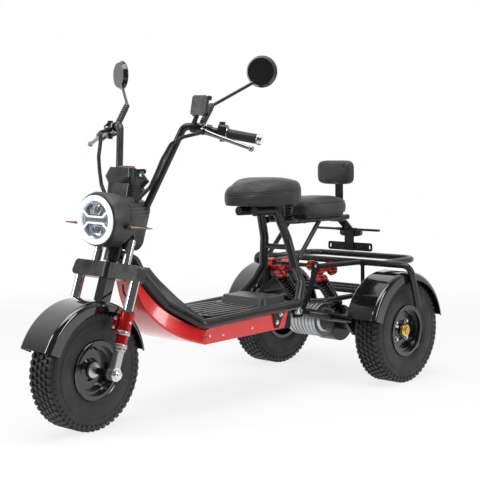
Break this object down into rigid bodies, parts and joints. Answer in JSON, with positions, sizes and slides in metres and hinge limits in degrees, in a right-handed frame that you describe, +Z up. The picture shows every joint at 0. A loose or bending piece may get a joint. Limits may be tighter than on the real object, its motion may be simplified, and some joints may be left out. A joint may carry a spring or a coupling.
{
  "type": "electric tricycle",
  "caption": "Step-through electric tricycle with steered front wheel, two rear wheels, twin seats, backrest and rear rack; wheels roll, fork steers, floor lid lifts.",
  "frame": {"origin": "on the ground, at the middle of the parked vehicle's length and width", "axes": "+X to the rider's left, +Y to the rear, +Z up"},
  "size_m": [0.7326, 1.5119, 1.094],
  "materials": {
    "frame_black": "satin black powder coat",
    "cover_grey": "moulded charcoal plastic",
    "red_panel": "gloss red",
    "black_gloss": "gloss black",
    "tyre_black": "moulded rubber",
    "rim_black": "satin black",
    "chrome": "polished",
    "red_anodised": "red anodised",
    "alloy": "cast alloy",
    "steel": "zinc plated",
    "halo_white": "opal light guide",
    "reflector": "bright lamp reflector",
    "lamp_lens": "clear lens",
    "leather_black": "grained vinyl",
    "grip_rubber": "ribbed rubber",
    "plastic_black": "satin black plastic",
    "amber": "amber lens",
    "red_lens": "red lens",
    "display_black": "gloss black"
  },
  "bodies": {
    "frame": {"backrest": "leather_black", "backrest_post": "frame_black", "battery": "plastic_black", "floor_tub": "plastic_black", "front_fairing": "red_panel", "lid_hinge": "steel", "main_frame": "frame_black", "main_seat": "leather_black", "motor": "alloy", "neck_cover": "cover_grey", "pivot_brackets": "frame_black", "rack": "frame_black", "rear_axle": "frame_black", "rear_fender_left": "black_gloss", "rear_fender_right": "black_gloss", "rear_seat": "leather_black", "rear_seat_frame": "frame_black", "rear_signals": "amber", "seat_bracket": "frame_black", "seat_frame": "frame_black", "seat_springs": "steel", "shelf": "frame_black", "shock_left": "red_anodised", "shock_right": "red_anodised", "side_skirts": "red_panel", "spring_left": "steel", "spring_right": "steel", "swing_arm": "frame_black", "tail_bracket": "frame_black", "tail_lamp": "red_lens"},
    "fork": {"front_axle": "steel", "fork_crown": "plastic_black", "stanchions": "chrome", "fork_sliders": "red_anodised", "fork_feet": "alloy", "front_fender": "black_gloss", "brake_caliper": "red_anodised", "nacelle": "cover_grey", "halo_ring": "halo_white", "headlamp_lens": "lamp_lens", "headlamp_bowls": "reflector", "front_signals": "amber", "display_pod": "display_black", "handlebar": "frame_black", "grips": "grip_rubber", "hand_controls": "plastic_black", "mirrors": "plastic_black", "phone_holder": "plastic_black", "cable_looms": "plastic_black"},
    "front_wheel": {"front_tyre": "tyre_black", "front_rim": "rim_black"},
    "rear_wheel_left": {"rear_tyre_left": "tyre_black", "rear_rim_left": "rim_black"},
    "rear_wheel_right": {"rear_tyre_right": "tyre_black", "rear_rim_right": "rim_black"},
    "floor_lid": {"floor_lid": "cover_grey"}
  },
  "joints": [
    {"name": "steering", "type": "hinge", "parent": "frame", "child": "fork", "pos_m": [0, -0.555, 0.17867], "axis": [0, 0.3256, 0.9455], "range_deg": [-37.4, 26.6]},
    {"name": "front_wheel_spin", "type": "hinge", "parent": "fork", "child": "front_wheel", "pos_m": [0, -0.555, 0.17867], "axis": [0.9956, 0.089, -0.0306], "continuous": true},
    {"name": "rear_wheel_left_spin", "type": "hinge", "parent": "frame", "child": "rear_wheel_left", "pos_m": [0.282, 0.565, 0.1775], "axis": [1, 0, 0], "continuous": true},
    {"name": "rear_wheel_right_spin", "type": "hinge", "parent": "frame", "child": "rear_wheel_right", "pos_m": [-0.282, 0.565, 0.1775], "axis": [1, 0, 0], "continuous": true},
    {"name": "floor_lid_hinge", "type": "hinge", "parent": "frame", "child": "floor_lid", "pos_m": [0, -0.171, 0.292], "axis": [1, 0, 0], "range_deg": [0, 42]}
  ]
}
